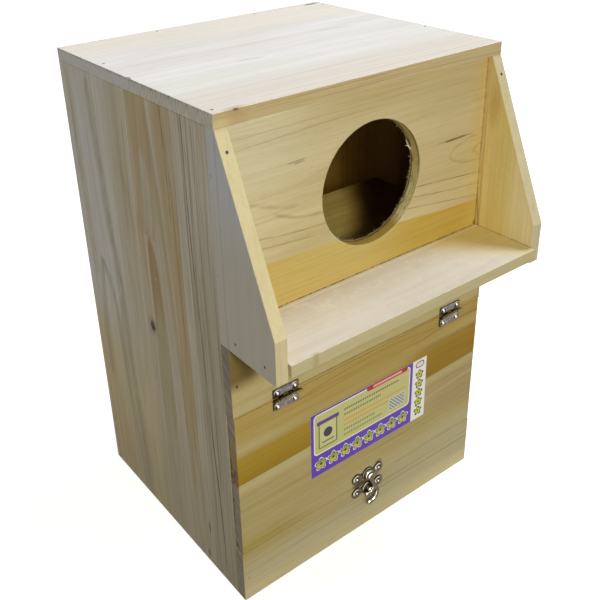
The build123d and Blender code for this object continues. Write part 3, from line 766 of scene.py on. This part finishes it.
def hinge_nickel():
    """Hinges: lilac-grey leaves with painted dark borders and ends, painted reflections of the wood by the
    knuckles, painted glints and shade at the nails and a knuckle row striped with painted highlights and
    shade.
    """
    metal = Plating("hinge_nickel", (124, 115, 119))
    left, _, up = metal.measures
    across = metal.paired(left, HINGES_MIDDLE, HINGES_HALF_SPAN)
    upward = up - HINGES_UP
    high = abs(upward)
    cloud = metal.noise(metal.place, 1.6, 2, 0.6)
    painted_dark_border = metal.math("MAXIMUM", abs(across).between(8.6, 10.6), high.between(7.2, 8.8))
    stripe = metal.math("FRACT", (across + upward * 0.5) * 0.8)
    row = high.between(3.2, 2)
    # Painted reflections and shade: olive reflections of the wood by the knuckle, dark borders and a dark
    # left end, light and dark stripes along the knuckle row and a painted shadow line under it.
    each(metal.tint,
        (across.between(6, 9.5) * upward.between(0.5, 4), (104, 86, 40), 0.85),
        (high.between(5.2, 1.8), (110, 98, 60), 0.85),
        (painted_dark_border * cloud.between(0.62, 0.4, 0.4, 1), (44, 33, 14), 0.95),
        (across.between(-6.6, -9) * cloud.between(0.66, 0.5), (50, 38, 14), 0.85),
        (row * stripe.between(0.45, 0.6), (46, 36, 14), 0.8),
        (row * stripe.between(0.4, 0.2) * across.between(-4, 4, 0.4, 1), (176, 166, 124), 0.8),
        (abs(upward + 2.5).between(0.9, 0), (38, 26, 16), 0.9),
    )
    side, rise = metal.paired(across, 0, 7.1), metal.paired(upward, 0, 5.3)
    # Painted highlight and shade round each nail: a ring, a dark stroke and a bright glint.
    metal.ring(side, rise, 1.9, 0.9, 0.45)
    metal.stroke(side + 1.4, rise + 0.5, 3, 1.1, (28, 20, 8), 0.85)
    metal.stroke(side, rise, 4.6, 0.95, (252, 246, 226), 0.95)
    return metal.plate()


def latch_nickel():
    """Latch plates: a pressed rim round each nail, and a pressed ring round the pivot and the peg, drawn with
    painted highlights, painted glints and painted shade.
    """
    metal = Plating("latch_nickel", (106, 96, 78))
    left, _, up = metal.measures
    middle = left - LATCH_ACROSS
    side = metal.paired(left, LATCH_ACROSS, LATCH_NAILS_HALF_SPAN)
    rise = metal.paired(up, LATCH_PLATES_MIDDLE, LATCH_PLATES_HALF_SPAN)
    reach = metal.distance(side, rise)
    # Painted shade: a dark ring outside each nail's rim and a dark hollow inside it.
    metal.tint(reach.between(3.7, 4.8), (40, 32, 16), 0.8)
    metal.tint(reach.between(2.5, 1.9), (52, 42, 24), 0.8)
    metal.ring(side, rise, 3.1, 0.8, 0.8)
    # Painted glints on the nail rims; the ring round the pivot and the peg is painted the same way, with
    # painted shade in its middle.
    metal.stroke(side + 0.3, rise + -0.3, 2.2, 0.9, PAINTED_GLINT, 0.9)
    metal.stroke(side + 2.6, rise + -0.6, 4, 0.7, PAINTED_GLINT, 0.6)
    metal.ring(middle, rise, 4.3, 0.9)
    metal.tint(metal.distance(middle, rise).between(3.4, 2.6), (40, 32, 18), 0.85)
    return metal.plate()


def hook_nickel():
    """Latch hook, rivet and peg: smooth and rounded, the brightest of the hardware, with painted highlights
    where they face the upper left and painted shade where they face away.
    """
    metal = Plating("hook_nickel", (104, 92, 72))
    x, y, z = metal.facing
    wave = metal.noise(metal.place, 3, 1) - 0.5
    # Painted light: bright where the surface faces the upper left, dark where it faces away.
    painted_light_facing = x * -0.55 + y * -0.4 + z * 0.73 + wave * 0.5
    metal.tint(painted_light_facing.between(0.2, -0.2), (30, 22, 12), 0.9)
    metal.tint(painted_light_facing.between(0.55, 0.8), (252, 246, 234))
    return metal.plate(0.3, 0.2)


class Print(Finish):
    """The sticker's printed face. Places on it run from its lower left corner, in millimetres."""

    def __init__(self, name):
        super().__init__(name)
        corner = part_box("label")[0]
        self.right = self.measures[0] - (corner.x / MM - LEFT_SIDE)
        self.rise = self.measures[2] - corner.z / MM
        self.colour = tone((250, 248, 244))

    def panel(self, left, low, right, high, corner):
        """A filled box with round corners."""
        blur = 0.12
        off_x = abs(self.right - (left + right) / 2) - ((right - left) / 2 - corner)
        off_y = abs(self.rise - (low + high) / 2) - ((high - low) / 2 - corner)
        reach = self.distance(self.math("MAXIMUM", off_x, 0), self.math("MAXIMUM", off_y, 0))
        return reach.between(corner + blur, corner - blur)

    def blossom(self, across, upward, radius):
        """A flower with five round petals. The value is one at its outline and grows outwards."""
        turn = self.math("ARCTAN2", across, upward) * 2.5
        petals = abs(self.math("COSINE", turn)) * 0.42 + 0.62
        return self.distance(across, upward) / (petals * radius)


def label_paper():
    """A made-up sticker: purple with a row of blossoms, a cream ruled panel and a strip with more."""
    label = Print("label_paper")
    dark, leaf, gold, petal_tip = (38, 30, 66), (44, 62, 30), (230, 206, 66), (122, 158, 48)
    for place, colour in (
        ((0, 0, 98.5, 56, 0.5), (96, 56, 182)),
        ((2.6, 18.5, 96, 54, 3.4), (252, 246, 226)),
        ((3.6, 19.5, 95, 53, 2.8), (203, 201, 131)),
        ((52, 51, 93, 55, 2), (176, 26, 44)),
        ((58, 52, 87, 54.2, 1), (240, 170, 150)),
        ((7, 23, 24, 45, 1), (96, 108, 60)),
        ((8, 24, 23, 44, 0.6), (212, 209, 142)),
        ((5.5, 44, 25.5, 47.2, 0.8), (92, 60, 150)),
        ((11.5, 31, 19.5, 39, 4), dark),
        ((10, 27, 21, 28.2, 0.4), (96, 108, 60)),
    ):
        label.tint(label.panel(*place), colour)

    # Ruled lines of dashes, and a hatched block beside them
    dashes = label.math("FRACT", label.right * 0.46).between(0.74, 0.62)
    line_half = 0.8
    for rise, left, right, colour in (
        (46.5, 30, 84, (70, 66, 40)),
        (42, 30, 66, (96, 90, 56)),
        (37, 30, 91, (228, 138, 52)),
        (32.8, 30, 74, (228, 138, 52)),
        (28.4, 30, 60, (112, 118, 70)),
        (24, 30, 68, (120, 126, 84)),
    ):
        label.tint(dashes * label.panel(left, rise - line_half, right, rise + line_half, 0.4), colour, 0.85)
    hatching = label.math("PINGPONG", label.right + label.rise, 1.5).between(0.7, 0.9)
    label.tint(label.panel(74, 22, 91, 34, 0.8), (206, 208, 190))
    label.tint(hatching * label.panel(75, 23, 90, 33, 0.6), (104, 116, 122), 0.8)

    # A row of blossoms along the foot and a column of small ones on the strip at the right
    row = label.panel(3, 0.8, 95.5, 17.6, 0.5)
    upward = label.rise - 9.4
    bloom = label.blossom((label.right - 3.2) % 11.5 - 5.75, upward, 4.5)
    label.tint(bloom.between(1.3, 1.22) * row, (250, 246, 236))
    label.tint(bloom.between(1.1, 1.04) * row, dark)
    petal = label.mix(upward.between(-4, 4), tone(gold), tone(petal_tip))
    label.colour = label.mix(bloom.between(0.92, 0.84) * row, label.colour, petal)
    label.tint(bloom.between(0.34, 0.26) * row, dark)
    column = label.panel(100, 3, 112, 46, 1)
    small = label.blossom(label.right - 106, (label.rise - 3) % 8.6 - 4.3, 3.9)
    label.tint(small.between(1.12, 1.02) * column, leaf)
    label.tint(small.between(0.8, 0.7) * column, (214, 214, 44))
    label.tint(small.between(0.3, 0.22) * column, leaf)
    label.tint(label.panel(101.5, 48, 110.5, 53.5, 2.6), (92, 52, 84))
    label.tint(label.panel(102.3, 48.8, 109.7, 52.7, 1.9), (240, 232, 226))

    front = label.facing[1].between(-0.5, -0.7)
    tooth = label.noise(label.place, 0.25, 2, 0.6)
    label.bump(label.noise(label.place, 14) * 3 + tooth * 0.15, 0.12)
    return label.set(Base_Color=label.mix(front, tone((238, 234, 226)), label.colour),
                     Roughness=tooth.between(0.3, 0.7, 0.36, 0.48),
                     Specular_IOR_Level=0.2, Coat_Weight=0.06, Coat_Roughness=0.18)


def fibre_wood(name="fibre_wood", pale=(236, 226, 190), deep=(186, 164, 108)):
    """Torn fibres, paler than the planed face."""
    finish = Finish(name)
    colour = finish.mix(finish.noise(finish.place, 0.9), tone(pale), tone(deep))
    return finish.set(Base_Color=colour, Roughness=0.75)


def dress_everything():
    """Gives every CAD node its material, in its object's own slots."""
    for material, nodes in (
        (top_wood(), "top_board"),
        (left_side_wood(), "left_side_board"),
        (right_side_wood(), "right_side_board"),
        (back_wood(), "back_board"),
        (panel_wood(), "hole_panel"),
        (porch_wood(), "porch_floor"),
        (left_wing_wood(), "left_wing"),
        (right_wing_wood(), "right_wing"),
        (shelf_wood(), "landing_shelf"),
        (bottom_wood(), "bottom_board"),
        (front_wood(), "hinge_rail door bottom_rail"),
        (nail_steel(), "top_board_nails wing_front_nails"),
        (nail_steel("sunk_nail", (176, 168, 144), (140, 131, 106), 0.1), "left_side_nails right_side_nails"),
        (filled_nails("wing_nails", 236, 246, (176, 172, 162)), "left_wing_nails right_wing_nails"),
        (filled_nails("front_nails", 150, 120, (182, 170, 130)), "front_rail_nails"),
        (hinge_nickel(), "left_hinge_rail_leaf left_hinge_door_leaf left_hinge_pin hinge_rail_nails "
                         "right_hinge_rail_leaf right_hinge_door_leaf right_hinge_pin hinge_door_nails"),
        (latch_nickel(), "latch_plate keeper_plate latch_plate_nails keeper_plate_nails"),
        (hook_nickel(), "latch_hook latch_rivet keeper_peg"),
        (label_paper(), "label"),
    ):
        for node in nodes.split():
            for slot in cad[node].material_slots:
                slot.link = "OBJECT"
                slot.material = material


def fibre_tree():
    """Thin fibres that stand out from a sawn round edge at random. The edge lies flat round the origin."""
    nodes = Nodes(bpy.data.node_groups.new("torn_edge", "GeometryNodeTree"))
    sockets = nodes.tree.interface
    for name, kind, value in (
        ("Radius", "Float", ENTRANCE_RADIUS * MM),
        ("Length", "Float", 0.0025),
        ("Thickness", "Float", 0.0002),
        ("Count", "Int", 420),
        ("Seed", "Int", 4),
    ):
        sockets.new_socket(name, in_out="INPUT", socket_type="NodeSocket" + kind).default_value = value
    sockets.new_socket("Material", in_out="INPUT", socket_type="NodeSocketMaterial")
    sockets.new_socket("Geometry", in_out="OUTPUT", socket_type="NodeSocketGeometry")
    given = nodes.add("NodeGroupInput").outputs
    edge = nodes.add("GeometryNodeMeshCircle", {"Vertices": given["Count"], "Radius": given["Radius"]})

    # Each fibre leans inwards and then any way, but seldom out of the edge.
    position = nodes.add("GeometryNodeInputPosition")
    outward = nodes.add("ShaderNodeVectorMath", {0: position}, operation="NORMALIZE")
    inward = nodes.add("ShaderNodeVectorMath", {0: outward, "Scale": -0.55}, operation="SCALE")
    scatter = {0: (-0.9, -0.9, -0.9), 1: (0.9, 0.9, 0.35), "Seed": given["Seed"]}
    astray = nodes.add("FunctionNodeRandomValue", scatter, data_type="FLOAT_VECTOR")
    aim = nodes.add("ShaderNodeVectorMath", {0: inward, 1: astray}, operation="ADD")
    turn = nodes.add("FunctionNodeAlignRotationToVector", {"Vector": aim}, axis="Z")

    # Most fibres are short and few are long.
    chance = nodes.add("FunctionNodeRandomValue", {"Seed": given["Seed"]}, data_type="FLOAT").outputs[1]
    stretch = nodes.math("MULTIPLY_ADD", nodes.math("POWER", chance, 3.0), 1.0, 0.25)
    cone = {"Vertices": 4, "Side Segments": 1, "Radius Bottom": given["Thickness"], "Depth": given["Length"]}
    laid = {"Points": edge, "Instance": nodes.add("GeometryNodeMeshCone", cone), "Rotation": turn,
            "Scale": nodes.joined(1.0, 1.0, stretch)}
    spread = nodes.add("GeometryNodeInstanceOnPoints", laid)
    real = nodes.add("GeometryNodeRealizeInstances", {0: spread})
    coat = nodes.add("GeometryNodeSetMaterial", {"Geometry": real, "Material": given["Material"]})
    nodes.add("NodeGroupOutput", {0: coat})
    return nodes.tree


def grown(name, tree, given, matrix):
    """Runs a node tree with these inputs and keeps the result as a plain mesh, put in place by the matrix."""
    holder = placed(name + "_maker", bpy.data.meshes.new(name + "_maker"))
    modifier = holder.modifiers.new("nodes", "NODES")
    modifier.node_group = tree
    for item in tree.interface.items_tree:
        if item.in_out == "INPUT" and item.name in given:
            modifier[item.identifier] = given[item.name]
    bpy.context.view_layer.update()
    graph = bpy.context.evaluated_depsgraph_get()
    mesh = bpy.data.meshes.new_from_object(holder.evaluated_get(graph), depsgraph=graph)
    mesh.transform(matrix)
    mesh.name = name
    bpy.data.objects.remove(holder)
    return placed(name, mesh)


def torn_edge(material):
    """Torn fibres round the back edge of the entrance."""
    panel_back = 11.4
    middle = Matrix.Translation(spot_at(ENTRANCE_ACROSS, panel_back, ENTRANCE_UP))
    upright = Matrix.Rotation(radians(90), 4, "X")
    edge = grown("torn_edge", fibre_tree(), {"Material": material}, middle @ upright)
    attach(edge, "case")


def splinter(material):
    """A long pale splinter, forked at its tip, that the saw left standing at the entrance's upper right."""
    strands = [
        [(160.0, 11.2, 296.6, 0.5), (157.2, 10.4, 299.8, 0.6), (154.2, 9.4, 302.3, 0.5),
         (150.8, 8.6, 303.4, 0.1)],
        [(155.6, 9.9, 301.2, 0.4), (153.4, 9.2, 304.2, 0.4), (151.4, 8.6, 307.2, 0.1)],
    ]
    flatness = 0.16
    shape = bmesh.new()
    for strand in strands:
        rows = []
        for from_left, from_front, up, wide in strand:
            half, thick = wide / 2, wide * flatness
            corners = [(-half, -half, -thick), (half, half, -thick), (half, half, thick),
                       (-half, -half, thick)]
            rows.append([shape.verts.new(spot_at(from_left + right, from_front + back, up + rise))
                         for right, rise, back in corners])
        for first, second in zip(rows, rows[1:]):
            for turn in range(4):
                shape.faces.new((first[turn], first[turn - 3], second[turn - 3], second[turn]))
        shape.faces.new(rows[0])
        shape.faces.new(rows[-1])
    bmesh.ops.recalc_face_normals(shape, faces=shape.faces)
    mesh = bpy.data.meshes.new("splinter")
    shape.to_mesh(mesh)
    shape.free()
    mesh.materials.append(material)
    piece = placed("splinter", mesh)
    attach(piece, "case")


def lamp(name, place, level, size, colour):
    """A round soft lamp aimed at the box. Level is how bright it makes a white wall that faces it."""
    data = bpy.data.lights.new(name, "AREA")
    data.shape = "DISK"
    data.size = size
    data.color = colour
    box_middle = Vector((0.0, 0.0, 0.18))
    away = Vector(place) - box_middle
    data.energy = level * pi * pi * away.length_squared
    holder = placed(name, data)
    holder.location = place
    holder.rotation_euler = away.to_track_quat("Z", "Y").to_euler()


def light_the_box():
    """Three lamps, and a pale room that is dim for the box and white for the camera."""
    lamp("overhead_lamp", (0.95, -0.06, 2.40), 0.63, 0.7, (0.93, 0.97, 1.0))
    lamp("front_lamp", (-0.40, -1.38, 0.85), 0.50, 0.32, (1.0, 0.95, 0.84))
    lamp("side_lamp", (-1.30, 0.75, 1.10), 0.12, 0.8, (0.90, 0.95, 1.0))
    world = bpy.data.worlds.new("pale_room")
    bpy.context.scene.world = world
    world.use_nodes = True
    room = Nodes(world.node_tree)
    background = room.tree.nodes["Background"].inputs
    background["Color"].default_value = (1, 1, 1, 1)
    strength = {0: room.seen(), "To Min": 0.16, "To Max": 1.0}
    room.feed(background["Strength"], room.add("ShaderNodeMapRange", strength))


def pale_floor():
    """A wide plain floor that looks white and keeps the box's shadow."""
    half = 6.0
    mesh = bpy.data.meshes.new("studio_floor")
    corners = [(-half, -half, 0), (half, -half, 0), (half, half, 0), (-half, half, 0)]
    mesh.from_pydata(corners, [], [(0, 1, 2, 3)])
    floor = placed("studio_floor", mesh)
    paint = Paint("floor_paint")
    seen = paint.seen()
    place = paint.add("ShaderNodeTexCoord").outputs["Object"]
    distance = paint.add("ShaderNodeVectorMath", {0: place}, operation="LENGTH").outputs["Value"]
    glow = paint.add("ShaderNodeMapRange", enumerate((distance, 0.5, 2.6, 0.62, 1.0)))
    mesh.materials.append(paint.set(
        Base_Color=paint.mix(seen, (0.36, 0.35, 0.34, 1), (0.93, 0.93, 0.93, 1)),
        Emission_Color=(1, 1, 1, 1), Emission_Strength=paint.math("MULTIPLY", seen, glow),
        Roughness=0.9, Specular_IOR_Level=0.0))


def place_camera():
    """The camera stands where the photograph was taken from, with its small turn and off-centre crop."""
    azimuth, elevation, turn = radians(-37.1786), radians(26.4156), radians(-1.5306)
    place = Vector((-329.17, -418.58, 492.28)) * MM
    focal_pixels, middle, image_size = 819.41, (290.35, 232.49), 600
    back = Vector((sin(azimuth) * cos(elevation), -cos(azimuth) * cos(elevation), sin(elevation)))
    right = (-back).cross(Vector((0, 0, 1))).normalized()
    upward = right.cross(-back)
    turned_right = right * cos(turn) + upward * sin(turn)
    turned_up = upward * cos(turn) - right * sin(turn)
    data = bpy.data.cameras.new("camera")
    data.sensor_width = 36.0
    data.lens = focal_pixels / image_size * data.sensor_width
    data.shift_x = (image_size / 2 - middle[0]) / image_size
    data.shift_y = (middle[1] - image_size / 2) / image_size
    data.clip_start = 0.01
    camera = placed("camera", data)
    axes = Matrix((turned_right, turned_up, back)).transposed().to_4x4()
    camera.matrix_world = Matrix.Translation(place) @ axes
    bpy.context.scene.camera = camera


place_camera()
light_the_box()
pale_floor()
dress_everything()
torn_edge(fibre_wood())
splinter(fibre_wood("splinter_wood", (250, 246, 228), (222, 210, 170)))
bpy.context.scene.view_settings.view_transform = "Standard"
